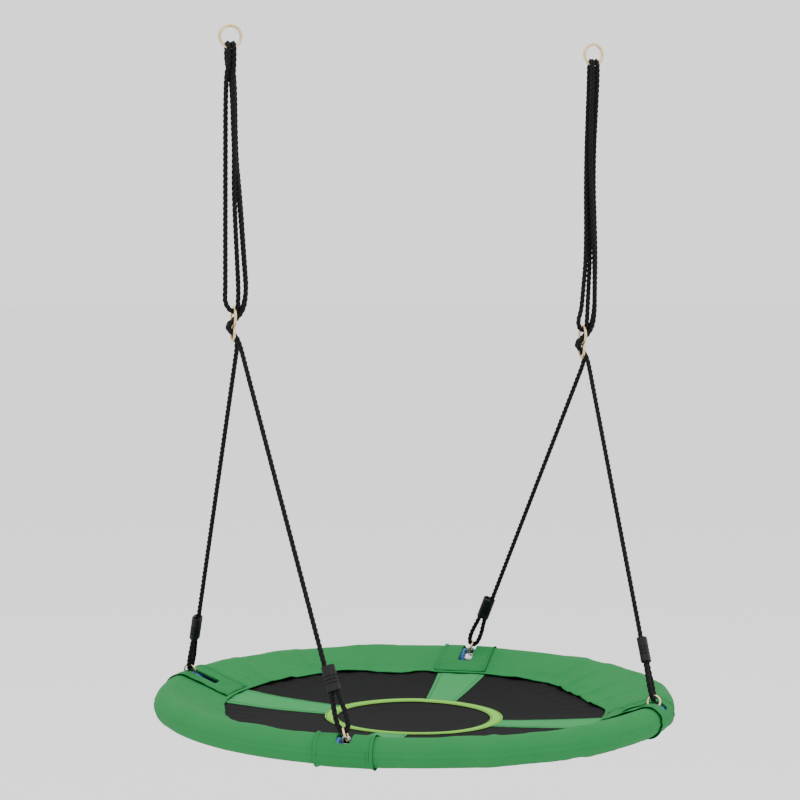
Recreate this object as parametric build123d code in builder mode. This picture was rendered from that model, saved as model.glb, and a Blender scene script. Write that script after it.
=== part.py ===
"""Saucer nest swing: a round fabric seat on a steel rim, hung by two ropes from two brass rings.

Millimetres, +Z up. The origin is the middle of the line between the centres of the two hanging
rings, which is where a beam or a frame holds the swing. X runs from the left ring to the right
ring and -Y is the front.
"""

import math
import os

from build123d import *

os.makedirs("parts", exist_ok=True)

# ---------------------------------------------------------------- driving dimensions

# hanging rings
RING_SPAN = 786.0  # between the two ring centres
RING_MAJOR = 20.0  # to the middle of the wire
RING_WIRE = 6.0
RING_TURN = {"left": -11.5, "right": -4.0}  # degrees each ring is turned about the vertical

# rope
ROPE_DIA = 9.5
HITCH_BEND = 10.4  # of a strand over the ring's wire
HITCH_PITCH = 10.0  # between the two strands that lie on the wire
HITCH_DROP = 26.0  # from the wire to the end of the part that rolls on it
NECK_GAP = 3.0  # between the rolling part and the hanging part, where the rope flexes

# seat rim
SEAT_DROP = 1260.0  # from the ring centres to the rim's middle plane
RIM_RADIUS = 475.0
TUBE_DIA = 25.0
TUBE_WALL = 1.5
SPIGOT_LENGTH = 40.0
SPIGOT_CLEARANCE = 0.1
FOAM_DIA = 46.0
FOAM_BORE = 25.4
COVER_DIA = 50.0
COVER_THICKNESS = 1.5
SCREW_DIA = 4.2
SCREW_LENGTH = 9.0
SCREW_HEAD_DIA = 8.0
SCREW_HEAD_HEIGHT = 2.5

# lugs on the rim and what is hooked into them
LUG_ANGLE = 47.0  # degrees from the X axis
LUG_WIRE = 4.0
LUG_WIDTH = 14.0  # between the middles of its two legs
LUG_HEIGHT = 24.0  # from the rim's middle plane to the middle of its top
LUG_BEND = 4.0
LUG_CLEAR = 21.0  # width of the break in the foam round a lug
LINK_MAJOR = 12.0
LINK_WIRE = 4.0
LINK_SLACK = 6.2  # between the middles of the link's wire and the lug's wire

# rope eyes and their clamps, measured up the leg from the link's centre
EYE_HALF_WIDTH = 11.0
EYE_BASE = 4.9
EYE_BASE_HALF = 7.1
EYE_BELLY = 32.0
EYE_NECK = 74.0
CLAMP_START = 79.0
CLAMP_WIDTH = 25.0
CLAMP_DEPTH = 18.0
CLAMP_GROOVE_DEPTH = 1.4
CLAMP_BORE = 9.9
CLAMP_PITCH = 10.4  # between its two bores
CLAMP_STEPS = (13.0, 2.5, 4.0, 2.5, 4.0, 2.5, 18.5)  # land, groove, land, ... upwards
TAIL_RECESS = 2.0

# rope adjusters: one large and one small loop of wire, side by side
ADJUSTER_MAJOR = 18.0
ADJUSTER_MINOR = 13.0
ADJUSTER_WIRE = 5.0
ADJUSTER_OVERLAP = 4.8  # the two loops share this much of their wire
ADJUSTER_TURN = -11.5  # degrees about the vertical, of the way through its loops
ADJUSTER_TILT = 4.0
ADJUSTER_PLACE = {"left": (-369.6, 35.5, -514.1), "right": (356.1, -30.0, -554.6)}

# fabric seat
MAT_RADIUS = 373.0
MAT_EDGE_DROP = 14.0  # below the rim's middle plane
MAT_CENTRE_DROP = 36.8
MAT_THICKNESS = 2.0
SEAM_THICKNESS = 3.0  # where the cover's two layers meet the mat
STRAP_THICKNESS = 1.0
STRAP_WIDTH_INNER = 52.0
STRAP_WIDTH_OUTER = 86.0
CIRCLE_OUTER = 171.7
CIRCLE_WIDTH = 22.0
CUFF_WIDTH = 108.0
CUFF_THICKNESS = 1.5
CUFF_LIFT = 0.3
CUFF_START = 378.0  # from the seat's axis to the cuff's inner edge
SLOT_WIDTH = 28.0
SLOT_INWARD = 60.0  # from the rim's middle line
SLOT_OUTWARD = 20.0
SLOT_DEPTH = 8.0  # below the rim's middle plane

# ---------------------------------------------------------------- places worked out from them

RIM_Z = -SEAT_DROP
HITCH_Z = -RING_MAJOR
NECK_TOP_Z = HITCH_Z - HITCH_DROP
NECK_LOW_Z = NECK_TOP_Z - NECK_GAP
SIDES = {"left": -1, "right": 1}
ENDS = {"back": 1, "front": -1}
ROPE_AXIS = Axis((0, 0, 0), (0, 0, 1))


def rim_plane(angle):
    """Upright plane through the seat's axis: x outwards, y up, from the rim's middle plane."""
    turn = math.radians(angle)
    return Plane(
        origin=(0, 0, RIM_Z),
        x_dir=(math.cos(turn), math.sin(turn), 0),
        z_dir=(math.sin(turn), -math.cos(turn), 0),
    )


def lug_angle(side, end):
    """Where a lug stands on the rim, in degrees round from +X."""
    angle = LUG_ANGLE if side == "right" else 180 - LUG_ANGLE
    return angle * ENDS[end]


def adjuster_plane(side):
    """Plane of an adjuster: x across it, y up, z the way through its loops."""
    turn = math.radians(ADJUSTER_TURN)
    level = Plane(
        origin=ADJUSTER_PLACE[side],
        x_dir=(-math.sin(turn), math.cos(turn), 0),
        z_dir=(math.cos(turn), math.sin(turn), 0),
    )
    return level.rotated((ADJUSTER_TILT, 0, 0))


def hitch_plane(side):
    """Upright plane across a hanging ring's wire at the hitch: x across the wire, y up."""
    turn = math.radians(ADJUSTER_TURN)
    return Plane(
        origin=(SIDES[side] * RING_SPAN / 2, 0, HITCH_Z),
        x_dir=(-math.sin(turn), math.cos(turn), 0),
        z_dir=(math.cos(turn), math.sin(turn), 0),
    )


def stem_point(side, part, across, deep):
    """A place part of the way from the hitch's neck down to the adjuster."""
    turn = math.radians(ADJUSTER_TURN)
    top = Vector(SIDES[side] * RING_SPAN / 2, 0, NECK_LOW_Z)
    foot = Vector(*ADJUSTER_PLACE[side])
    middle = top + (foot - top) * part
    return middle + Vector(
        across * math.cos(turn) - deep * math.sin(turn),
        across * math.sin(turn) + deep * math.cos(turn),
        0,
    )


def eye_plane(side, end, leg_start):
    """Plane of a leg's eye: x along the rim, y up the leg, origin at the centre of its link."""
    turn = math.radians(lug_angle(side, end))
    lug = Vector(RIM_RADIUS * math.cos(turn), RIM_RADIUS * math.sin(turn), RIM_Z + LUG_HEIGHT)
    along_rim = Vector(-math.sin(turn), math.cos(turn), 0)
    pull = leg_start - lug
    for _ in range(2):
        sideways = (along_rim - pull * (along_rim.dot(pull) / pull.dot(pull))).normalized()
        pull = leg_start - (lug - sideways * (CLAMP_PITCH / 2))
    centre = lug + pull.normalized() * (LINK_MAJOR - LINK_SLACK)
    return Plane(origin=centre, x_dir=sideways, z_dir=sideways.cross(pull))


# ---------------------------------------------------------------- rope routes

# The four strands between a hitch and its adjuster: how far down, across and deep each one is
# where it changes course. The two leg strands run on through the adjuster to the rim, and the
# other two are one bight that is hooked under the adjuster's top.
APART = HITCH_PITCH / 2
DEEP = HITCH_BEND
STRAND_WAYS = {
    "left": {
        "front": ((0.0, -APART, DEEP), (0.06, 2.5, -0.7), (0.36, 4.4, -0.8), (0.5, 11.8, -4.1)),
        "back": ((0.0, APART, DEEP), (0.06, 10.0, 9.3), (0.36, 10.0, 8.9), (0.5, 16.1, 6.6)),
        "bight_near": ((0.0, -APART, -DEEP), (0.06, -8.9, 0.6), (0.36, -11.7, -1.6)),
        "bight_far": ((0.0, APART, -DEEP), (0.06, 2.0, -11.2), (0.36, 2.7, -11.6), (0.5, 1.6, -8.3)),
    },
    "right": {
        "front": ((0.0, -APART, -DEEP), (0.36, -1.25, -7.1), (0.68, 14.0, -10.5)),
        "back": ((0.0, APART, -DEEP), (0.36, 7.1, -1.25), (0.68, 20.0, -1.5)),
        "bight_near": ((0.0, -APART, DEEP), (0.36, -7.1, 1.25), (0.68, 0.5, -1.5)),
        "bight_far": ((0.0, APART, DEEP), (0.36, 1.25, 7.1), (0.68, 10.0, 3.0)),
    },
}

# The way through the adjuster, in its own plane: across it, up it and through it.
LEG_WAY = {
    "front": (
        (-5.2, 50.0, 21.3),
        (-5.2, 15.0, 18.5),
        (-4.9, -7.6, 0.5),
        (-4.9, -13.2, -8.9),
        (-4.9, -23.4, -8.9),
        (-4.9, -29.5, -0.5),
        (-4.9, -44.5, 11.0),
    ),
    "back": (
        (5.2, 50.0, 24.3),
        (5.2, 15.0, 18.5),
        (4.9, -7.6, 0.5),
        (4.9, -13.2, -8.9),
        (4.9, -23.4, -8.9),
        (4.9, -29.5, -0.5),
        (4.9, -44.5, 11.0),
    ),
}
LEG_BEND = 22.0  # where a leg strand turns in to the adjuster
BIGHT_WAY = {
    "left": ((0, 50.0, -17.0), (0, 27.0, -17.5), (0, 10.4, -6.0), (0, 10.4, 7.6), (0, 50.0, 7.9)),
    "right": ((0, 50.0, -5.0), (0, 27.0, -11.5), (0, 10.4, -6.0), (0, 10.4, 7.6), (0, 50.0, 7.9)),
}
BIGHT_BENDS = {-4: 7.0, -3: 7.55}  # round the adjuster's wire

# The eye at the foot of a leg, in its own plane: along the rim and up the leg.
EYE_WAY = (
    (-CLAMP_PITCH / 2, EYE_NECK),
    (-EYE_HALF_WIDTH, EYE_BELLY),
    (-EYE_BASE_HALF, EYE_BASE),
    (EYE_BASE_HALF, EYE_BASE),
    (EYE_HALF_WIDTH, EYE_BELLY),
    (CLAMP_PITCH / 2, EYE_NECK),
    (CLAMP_PITCH / 2, CLAMP_START + sum(CLAMP_STEPS) - TAIL_RECESS),
)
EYE_NECK_BEND = 60.0
EYE_BASE_BEND = LINK_WIRE / 2 + ROPE_DIA / 2 + 0.3


def bends(points, held):
    """Bend radius at each corner: as easy as its runs allow, or what it goes round."""
    radii = []
    for corner in range(1, len(points) - 1):
        before = points[corner] - points[corner - 1]
        after = points[corner + 1] - points[corner]
        half_turn = math.radians(before.get_angle(after)) / 2
        easy = 0.45 * min(before.length, after.length) / math.tan(half_turn)
        radii.append(held.get(corner, easy))
    return radii


def rope(label, points, held):
    """One run of rope along straight stretches and bends, written as its own sub-part."""
    radii = bends(points, held)
    with BuildPart() as run:
        with BuildLine() as route:
            FilletPolyline(*points, radius=radii)
        with BuildSketch(Plane(origin=route.line @ 0, z_dir=route.line % 0)):
            Circle(ROPE_DIA / 2)
        sweep()
    length = route.wire().length
    ideal = math.pi * (ROPE_DIA / 2) ** 2 * length
    print(
        f"{label}: {length:.0f} mm long, volume {run.part.volume / ideal:.4f} of its"
        f" section times length, bends {[round(r, 1) for r in radii]}"
    )
    write(run, label)


def write(piece, label):
    piece.part.label = label
    export_step(piece.part, f"parts/{label}.step")


# ---------------------------------------------------------------- rings, hitches and ropes

for side, sign in SIDES.items():
    hanging = Plane.XZ.rotated((0, 0, RING_TURN[side]))
    hanging.origin = (sign * RING_SPAN / 2, 0, 0)
    with BuildPart(hanging) as hanging_ring:
        Torus(RING_MAJOR, RING_WIRE / 2)
    write(hanging_ring, f"{side}_hanging_ring")

    # The two strands that lie over the ring's wire.
    hitch = hitch_plane(side)
    reach = HITCH_BEND
    with BuildPart() as hitch_rope:
        for offset in (-HITCH_PITCH / 2, HITCH_PITCH / 2):
            saddle = [
                hitch.from_local_coords(Vector(x, y, offset))
                for x, y in ((-reach, -HITCH_DROP), (-reach, reach), (reach, reach), (reach, -HITCH_DROP))
            ]
            with BuildLine() as over_wire:
                FilletPolyline(*saddle, radius=0.95 * HITCH_BEND)
            with BuildSketch(Plane(origin=over_wire.line @ 0, z_dir=over_wire.line % 0)):
                Circle(ROPE_DIA / 2)
            sweep()
    write(hitch_rope, f"{side}_rope_hitch")

    eight = adjuster_plane(side)
    with BuildPart(eight) as adjuster:
        Torus(ADJUSTER_MAJOR, ADJUSTER_WIRE / 2)
        with Locations((0, ADJUSTER_OVERLAP - ADJUSTER_WIRE - ADJUSTER_MAJOR - ADJUSTER_MINOR, 0)):
            Torus(ADJUSTER_MINOR, ADJUSTER_WIRE / 2)
    write(adjuster, f"{side}_rope_adjuster")

    ways = STRAND_WAYS[side]
    down = [stem_point(side, *place) for place in ways["bight_near"]]
    up = [stem_point(side, *place) for place in reversed(ways["bight_far"])]
    through = [eight.from_local_coords(Vector(*place)) for place in BIGHT_WAY[side]]
    bight = down + through + up
    held = {len(bight) - len(up) + corner + 1: r for corner, r in BIGHT_BENDS.items()}
    rope(f"{side}_rope_bight", bight, held)

    for end in ENDS:
        strand = [stem_point(side, *place) for place in ways[end]]
        strand += [eight.from_local_coords(Vector(*place)) for place in LEG_WAY[end]]
        eye = eye_plane(side, end, strand[-1])
        loop = [eye.from_local_coords(Vector(x, y, 0)) for x, y in EYE_WAY]
        neck = len(strand)
        held = {
            neck - 6: LEG_BEND,
            neck: EYE_NECK_BEND,
            neck + 2: EYE_BASE_BEND,
            neck + 3: EYE_BASE_BEND,
            neck + 5: EYE_NECK_BEND,
        }
        rope(f"{side}_{end}_rope", strand + loop, held)

        link_plane = Plane(origin=eye.origin, x_dir=eye.y_dir, z_dir=eye.x_dir)
        with BuildPart(link_plane) as link:
            Torus(LINK_MAJOR, LINK_WIRE / 2)
        write(link, f"{side}_{end}_link")

        # Ribbed oval sleeve with a bore for the leg and one for its tail.
        level = CLAMP_START
        with BuildPart() as clamp:
            for number, height in enumerate(CLAMP_STEPS):
                inset = 2 * CLAMP_GROOVE_DEPTH if number % 2 else 0
                base = eye.origin + eye.y_dir * level
                with BuildSketch(Plane(origin=base, x_dir=eye.x_dir, z_dir=eye.y_dir)):
                    SlotOverall(CLAMP_WIDTH - inset, CLAMP_DEPTH - inset)
                    with GridLocations(CLAMP_PITCH, 0, 2, 1):
                        Circle(CLAMP_BORE / 2, mode=Mode.SUBTRACT)
                extrude(amount=height)
                level += height
        write(clamp, f"{side}_{end}_clamp")

# ---------------------------------------------------------------- steel rim

tube_radius = TUBE_DIA / 2
bore_radius = tube_radius - TUBE_WALL
spigot_radius = bore_radius - SPIGOT_CLEARANCE
spigot_arc = math.degrees(SPIGOT_LENGTH / RIM_RADIUS)
neck_arc = math.degrees(TUBE_WALL / RIM_RADIUS)
QUARTERS = {"right_back": 0, "left_back": 90, "left_front": 180, "right_front": 270}
screw_angles = [start + spigot_arc / 2 for start in QUARTERS.values()]


def screw_plane(angle):
    """Under the rim at a joint: z points down out of the tube."""
    turn = math.radians(angle)
    place = (RIM_RADIUS * math.cos(turn), RIM_RADIUS * math.sin(turn), RIM_Z - tube_radius)
    return Plane(origin=place, z_dir=(0, 0, -1))


for name, start in QUARTERS.items():
    with BuildPart() as quarter:
        with BuildSketch(rim_plane(start)):
            with Locations((RIM_RADIUS, 0)):
                Circle(tube_radius)
                Circle(bore_radius, mode=Mode.SUBTRACT)
        revolve(axis=ROPE_AXIS, revolution_arc=90)
        # The far end is drawn down to a spigot that plugs into the next quarter.
        with BuildSketch(rim_plane(start + 90 - neck_arc)):
            with Locations((RIM_RADIUS, 0)):
                Circle(tube_radius - TUBE_WALL / 2)
                Circle(spigot_radius - TUBE_WALL, mode=Mode.SUBTRACT)
        revolve(axis=ROPE_AXIS, revolution_arc=neck_arc)
        with BuildSketch(rim_plane(start + 90 - neck_arc)):
            with Locations((RIM_RADIUS, 0)):
                Circle(spigot_radius)
                Circle(spigot_radius - TUBE_WALL, mode=Mode.SUBTRACT)
        revolve(axis=ROPE_AXIS, revolution_arc=neck_arc + spigot_arc)
        for angle in (start + spigot_arc / 2, start + 90 + spigot_arc / 2):
            with BuildSketch(screw_plane(angle)):
                Circle(SCREW_DIA / 2)
            extrude(amount=-SCREW_LENGTH, mode=Mode.SUBTRACT)
    write(quarter, f"{name}_rim_tube")

with BuildPart() as rim_screws:
    for angle in screw_angles:
        with BuildSketch(screw_plane(angle)):
            Circle(SCREW_DIA / 2)
        extrude(amount=-SCREW_LENGTH)
        with BuildSketch(screw_plane(angle)):
            Circle(SCREW_HEAD_DIA / 2)
        extrude(amount=SCREW_HEAD_HEIGHT)
write(rim_screws, "rim_screws")

for side in SIDES:
    for end in ENDS:
        upright = rim_plane(lug_angle(side, end))
        across = Plane(
            origin=upright.origin + upright.x_dir * RIM_RADIUS,
            x_dir=upright.z_dir,
            z_dir=-upright.x_dir,
        )
        half = LUG_WIDTH / 2
        with BuildPart() as lug:
            with BuildLine(across) as bail:
                FilletPolyline(
                    (-half, tube_radius),
                    (-half, LUG_HEIGHT),
                    (half, LUG_HEIGHT),
                    (half, tube_radius),
                    radius=LUG_BEND,
                )
            with BuildSketch(Plane(origin=bail.line @ 0, z_dir=bail.line % 0)):
                Circle(LUG_WIRE / 2)
            sweep()
        write(lug, f"{side}_{end}_lug")

# ---------------------------------------------------------------- foam and fabric

half_break = math.degrees(LUG_CLEAR / 2 / RIM_RADIUS)
FOAMS = {
    "right_foam": (-LUG_ANGLE, LUG_ANGLE),
    "back_foam": (LUG_ANGLE, 180 - LUG_ANGLE),
    "left_foam": (180 - LUG_ANGLE, 180 + LUG_ANGLE),
    "front_foam": (180 + LUG_ANGLE, 360 - LUG_ANGLE),
}
for name, (start, stop) in FOAMS.items():
    with BuildPart() as foam:
        with BuildSketch(rim_plane(start + half_break)):
            with Locations((RIM_RADIUS, 0)):
                Circle(FOAM_DIA / 2)
                Circle(FOAM_BORE / 2, mode=Mode.SUBTRACT)
        revolve(axis=ROPE_AXIS, revolution_arc=stop - start - 2 * half_break)
        for angle in screw_angles:
            with BuildSketch(screw_plane(angle)):
                Circle(SCREW_HEAD_DIA / 2 + 0.5)
            extrude(amount=SCREW_HEAD_HEIGHT + 0.5, mode=Mode.SUBTRACT)
    write(foam, name)


def pocket(radius, tip, tip_half, mode=Mode.ADD):
    """The cover's section: a round end over the rim and two layers drawn in to the mat's edge."""
    upper = math.atan2(-MAT_EDGE_DROP + tip_half, tip - RIM_RADIUS)
    span = math.hypot(tip - RIM_RADIUS, MAT_EDGE_DROP - tip_half)
    top_angle = upper - math.acos(radius / span)
    lower = math.atan2(-MAT_EDGE_DROP - tip_half, tip - RIM_RADIUS)
    low_span = math.hypot(tip - RIM_RADIUS, MAT_EDGE_DROP + tip_half)
    low_angle = lower + math.acos(radius / low_span)
    top = (RIM_RADIUS + radius * math.cos(top_angle), radius * math.sin(top_angle))
    low = (RIM_RADIUS + radius * math.cos(low_angle), radius * math.sin(low_angle))
    with BuildLine() as outline:
        Line((tip, -MAT_EDGE_DROP + tip_half), top)
        ThreePointArc(top, (RIM_RADIUS + radius, 0), low)
        Line(low, (tip, -MAT_EDGE_DROP - tip_half))
        Line((tip, -MAT_EDGE_DROP - tip_half), (tip, -MAT_EDGE_DROP + tip_half))
    make_face(outline.edges(), mode=mode)


# The slots through the top of the fabric, one at each lug, for its link to come out of.
slot_middle = RIM_RADIUS + (SLOT_OUTWARD - SLOT_INWARD) / 2
with BuildSketch(Plane.XY.offset(RIM_Z - SLOT_DEPTH)) as slots:
    for side in SIDES:
        for end in ENDS:
            angle = lug_angle(side, end)
            turn = math.radians(angle)
            middle = (slot_middle * math.cos(turn), slot_middle * math.sin(turn), 0)
            with Locations(Location(middle, angle)):
                Rectangle(SLOT_INWARD + SLOT_OUTWARD, SLOT_WIDTH)

with BuildPart() as edge_cover:
    with BuildSketch(rim_plane(0)):
        pocket(COVER_DIA / 2, MAT_RADIUS, SEAM_THICKNESS / 2)
    revolve(axis=ROPE_AXIS)
    with BuildSketch(rim_plane(0)):
        pocket(COVER_DIA / 2 - COVER_THICKNESS, MAT_RADIUS + 12, SEAM_THICKNESS / 6)
    revolve(axis=ROPE_AXIS, mode=Mode.SUBTRACT)
    extrude(slots.sketch, amount=SLOT_DEPTH + COVER_DIA, mode=Mode.SUBTRACT)
write(edge_cover, "edge_cover")


def dish(lift, thickness, radius):
    """A layer of the dished seat, lifted above the mat's top, out to a radius."""

    def height(r):
        sag = MAT_CENTRE_DROP - MAT_EDGE_DROP + MAT_THICKNESS / 2
        bowl = (MAT_RADIUS**2 + sag**2) / (2 * sag)
        return lift - MAT_CENTRE_DROP + bowl - math.sqrt(bowl**2 - r**2)

    with BuildLine() as outline:
        ThreePointArc((0, height(0)), (radius / 2, height(radius / 2)), (radius, height(radius)))
        Line((radius, height(radius)), (radius, height(radius) - thickness))
        ThreePointArc(
            (radius, height(radius) - thickness),
            (radius / 2, height(radius / 2) - thickness),
            (0, height(0) - thickness),
        )
        Line((0, height(0) - thickness), (0, height(0)))
    make_face(outline.edges())


with BuildPart() as seat_mat:
    with BuildSketch(rim_plane(0)):
        dish(0, MAT_THICKNESS, MAT_RADIUS)
    revolve(axis=ROPE_AXIS)
write(seat_mat, "seat_mat")

with BuildPart() as centre_circle:
    with BuildSketch(rim_plane(0)):
        dish(STRAP_THICKNESS, STRAP_THICKNESS, CIRCLE_OUTER)
    revolve(axis=ROPE_AXIS)
    with BuildSketch(Plane.XY.offset(RIM_Z - COVER_DIA)):
        Circle(CIRCLE_OUTER - CIRCLE_WIDTH)
    extrude(amount=2 * COVER_DIA, mode=Mode.SUBTRACT)
write(centre_circle, "centre_circle")

with BuildPart() as spoke_straps:
    with BuildSketch(rim_plane(0)):
        dish(STRAP_THICKNESS, STRAP_THICKNESS, MAT_RADIUS)
    revolve(axis=ROPE_AXIS)
    with BuildSketch(Plane.XY.offset(RIM_Z - COVER_DIA)):
        for side in SIDES:
            for end in ENDS:
                with Locations(Location((0, 0, 0), lug_angle(side, end))):
                    Polygon(
                        (0.9 * CIRCLE_OUTER, -STRAP_WIDTH_INNER / 2),
                        (MAT_RADIUS + 5, -STRAP_WIDTH_OUTER / 2),
                        (MAT_RADIUS + 5, STRAP_WIDTH_OUTER / 2),
                        (0.9 * CIRCLE_OUTER, STRAP_WIDTH_INNER / 2),
                        align=None,
                    )
        Circle(CIRCLE_OUTER, mode=Mode.SUBTRACT)
    extrude(amount=2 * COVER_DIA, mode=Mode.INTERSECT)
write(spoke_straps, "spoke_straps")

half_cuff = math.degrees(CUFF_WIDTH / 2 / RIM_RADIUS)
cuff_inner = COVER_DIA / 2 + CUFF_LIFT
cuff_seam = SEAM_THICKNESS / 2 + 1.08 * CUFF_LIFT
cuff_outer_seam = cuff_seam + 1.08 * CUFF_THICKNESS
for side in SIDES:
    for end in ENDS:
        start = lug_angle(side, end) - half_cuff
        with BuildPart() as cuff:
            with BuildSketch(rim_plane(start)):
                pocket(cuff_inner + CUFF_THICKNESS, MAT_RADIUS, cuff_outer_seam)
                pocket(cuff_inner, MAT_RADIUS, cuff_seam, Mode.SUBTRACT)
                with Locations((CUFF_START - COVER_DIA, 0)):
                    Rectangle(2 * COVER_DIA, 2 * COVER_DIA, mode=Mode.SUBTRACT)
            revolve(axis=ROPE_AXIS, revolution_arc=2 * half_cuff)
            extrude(slots.sketch, amount=SLOT_DEPTH + COVER_DIA, mode=Mode.SUBTRACT)
        write(cuff, f"{side}_{end}_cuff")
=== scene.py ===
"""Saucer nest swing, dressed around its frame. Metres, +Z up, X from the left ring to the right."""

import math

import bmesh
import bpy
from mathutils import Matrix, Vector, noise


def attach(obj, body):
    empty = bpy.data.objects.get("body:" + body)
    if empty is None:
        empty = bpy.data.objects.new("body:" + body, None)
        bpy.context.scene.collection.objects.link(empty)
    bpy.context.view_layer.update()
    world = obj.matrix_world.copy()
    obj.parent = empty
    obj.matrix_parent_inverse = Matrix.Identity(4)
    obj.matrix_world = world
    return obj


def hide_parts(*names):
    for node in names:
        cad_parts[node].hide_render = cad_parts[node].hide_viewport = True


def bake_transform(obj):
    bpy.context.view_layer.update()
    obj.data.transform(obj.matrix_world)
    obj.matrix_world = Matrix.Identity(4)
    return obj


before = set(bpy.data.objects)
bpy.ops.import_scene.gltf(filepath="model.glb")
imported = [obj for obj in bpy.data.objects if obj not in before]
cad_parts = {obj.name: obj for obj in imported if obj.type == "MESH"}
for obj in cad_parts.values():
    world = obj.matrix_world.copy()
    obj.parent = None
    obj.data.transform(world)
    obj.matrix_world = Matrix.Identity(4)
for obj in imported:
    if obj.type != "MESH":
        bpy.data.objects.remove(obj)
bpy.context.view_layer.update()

# ---------------------------------------------------------------- camera
# A long lens some way off to the front left, above the seat and looking slightly down on it.

SEAT = Vector((0, 0, -1.26))
CAMERA_AZIMUTH = math.radians(-28.54)
CAMERA_ELEVATION = math.radians(11.05)
CAMERA_DISTANCE = 4.69312
CAMERA_PITCH = math.radians(7.13)
CAMERA_ROLL = math.radians(0.43)
CAMERA_LENS = 108.03
CAMERA_SHIFT = (-0.0209, 0.0002)

back = Vector(
    (
        math.sin(CAMERA_AZIMUTH) * math.cos(CAMERA_ELEVATION),
        -math.cos(CAMERA_AZIMUTH) * math.cos(CAMERA_ELEVATION),
        math.sin(CAMERA_ELEVATION),
    )
)
side_axis = (-back).cross(Vector((0, 0, 1))).normalized()
up_axis = side_axis.cross(-back)
turn = Matrix.Rotation(CAMERA_PITCH, 3, side_axis)
back_axis = turn @ back
up_axis = turn @ up_axis
roll = Matrix.Rotation(CAMERA_ROLL, 3, -back_axis)
axes = Matrix((roll.inverted() @ side_axis, roll.inverted() @ up_axis, back_axis)).transposed()
camera = bpy.data.objects.new("camera", bpy.data.cameras.new("camera"))
camera.matrix_world = Matrix.Translation(SEAT + back * CAMERA_DISTANCE) @ axes.to_4x4()
camera.data.lens = CAMERA_LENS
camera.data.sensor_width = 36
camera.data.shift_x, camera.data.shift_y = CAMERA_SHIFT
camera.data.clip_end = 50
bpy.context.collection.objects.link(camera)
bpy.context.scene.camera = camera

# ---------------------------------------------------------------- hanging rings and links
# Welded rings of brassed steel wire: a large one at the top of each rope and a small one in
# each of its two eyes. The plating is satin, with faint drawing lines and duller patches.


class Value:
    """A number in a node tree. Working on it with + - * / adds the Math nodes."""

    def __init__(self, tree, socket):
        self.tree = tree
        self.socket = socket

    def math(self, operation, *others, flip=False):
        node = self.tree.nodes.new("ShaderNodeMath")
        node.operation = operation
        terms = [self, *others]
        if flip:
            terms.reverse()
        for place, term in enumerate(terms):
            plug(self.tree, node.inputs[place], term)
        return Value(self.tree, node.outputs[0])

    def __add__(self, other):
        return self.math("ADD", other)

    def __radd__(self, other):
        return self.math("ADD", other)

    def __sub__(self, other):
        return self.math("SUBTRACT", other)

    def __rsub__(self, other):
        return self.math("SUBTRACT", other, flip=True)

    def __mul__(self, other):
        return self.math("MULTIPLY", other)

    def __rmul__(self, other):
        return self.math("MULTIPLY", other)

    def __truediv__(self, other):
        return self.math("DIVIDE", other)

    def __rtruediv__(self, other):
        return self.math("DIVIDE", other, flip=True)


def plug(tree, socket, value):
    """Puts a link, a wrapped value or a plain value on a socket."""
    if isinstance(value, Value):
        value = value.socket
    if isinstance(value, bpy.types.NodeSocket):
        tree.links.new(value, socket)
    else:
        socket.default_value = value


class Board:
    """A node tree being wired up."""

    def __init__(self, tree):
        self.tree = tree

    def node(self, kind, settings=None, inputs=None):
        """Any node: its settings first, then what its sockets hold."""
        made = self.tree.nodes.new(kind)
        for name, value in (settings or {}).items():
            if name == "stops":
                ramp = made.color_ramp
                while len(ramp.elements) < len(value):
                    ramp.elements.new(0.5)
                for element, (place, colour) in zip(ramp.elements, value):
                    element.position = place
                    element.color = colour
            else:
                setattr(made, name, value)
        for name, value in (inputs or {}).items():
            plug(self.tree, made.inputs[name], value)
        return made

    def value(self, made, output=0):
        return Value(self.tree, made.outputs[output])

    def speckle(self, where, scale, detail=2.0, stretch=(1, 1, 1)):
        """Noise from 0 to 1 at a scale, in cells per metre."""
        spot = self.node("ShaderNodeMapping", None, {"Vector": where, "Scale": stretch})
        made = self.node(
            "ShaderNodeTexNoise",
            None,
            {"Vector": spot.outputs[0], "Scale": scale, "Detail": detail},
        )
        return self.value(made)

    def blend(self, factor, low, high):
        """A colour between two colours."""
        made = self.node("ShaderNodeMix", {"data_type": "RGBA"})
        plug(self.tree, made.inputs[0], factor)
        plug(self.tree, made.inputs[6], low)
        plug(self.tree, made.inputs[7], high)
        return made.outputs[2]

    def bump(self, height, distance, strength=1.0):
        inputs = {"Height": height, "Distance": distance, "Strength": strength}
        return self.node("ShaderNodeBump", None, inputs).outputs[0]


def finish_of(name, **fixed):
    """A new material: its board, its shader, and its Object coordinates."""
    made = bpy.data.materials.new(name)
    made.use_nodes = True
    made.node_tree.nodes.clear()
    board = Board(made.node_tree)
    shader = board.node("ShaderNodeBsdfPrincipled")
    for socket, value in fixed.items():
        shader.inputs[socket.replace("_", " ")].default_value = value
    board.node("ShaderNodeOutputMaterial", None, {"Surface": shader.outputs[0]})
    place = board.node("ShaderNodeTexCoord").outputs["Object"]
    return made, board, shader, place


def level(value, low, high):
    """A value from 0 to 1 spread over low to high."""
    return value * (high - low) + low


brass, board, shader, place = finish_of("brassed_wire", Metallic=1.0, Coat_Roughness=0.2)
dull = board.speckle(place, 60, 4)
lines = board.speckle(place, 900, 2, (1, 1, 0.15))
tarnish = board.blend(dull, (0.80, 0.62, 0.33, 1), (0.66, 0.50, 0.28, 1))
plug(board.tree, shader.inputs["Base Color"], tarnish)
plug(board.tree, shader.inputs["Roughness"], level(dull * 0.6 + lines * 0.4, 0.18, 0.42))
plug(board.tree, shader.inputs["Normal"], board.bump(lines, 0.00004))


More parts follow.
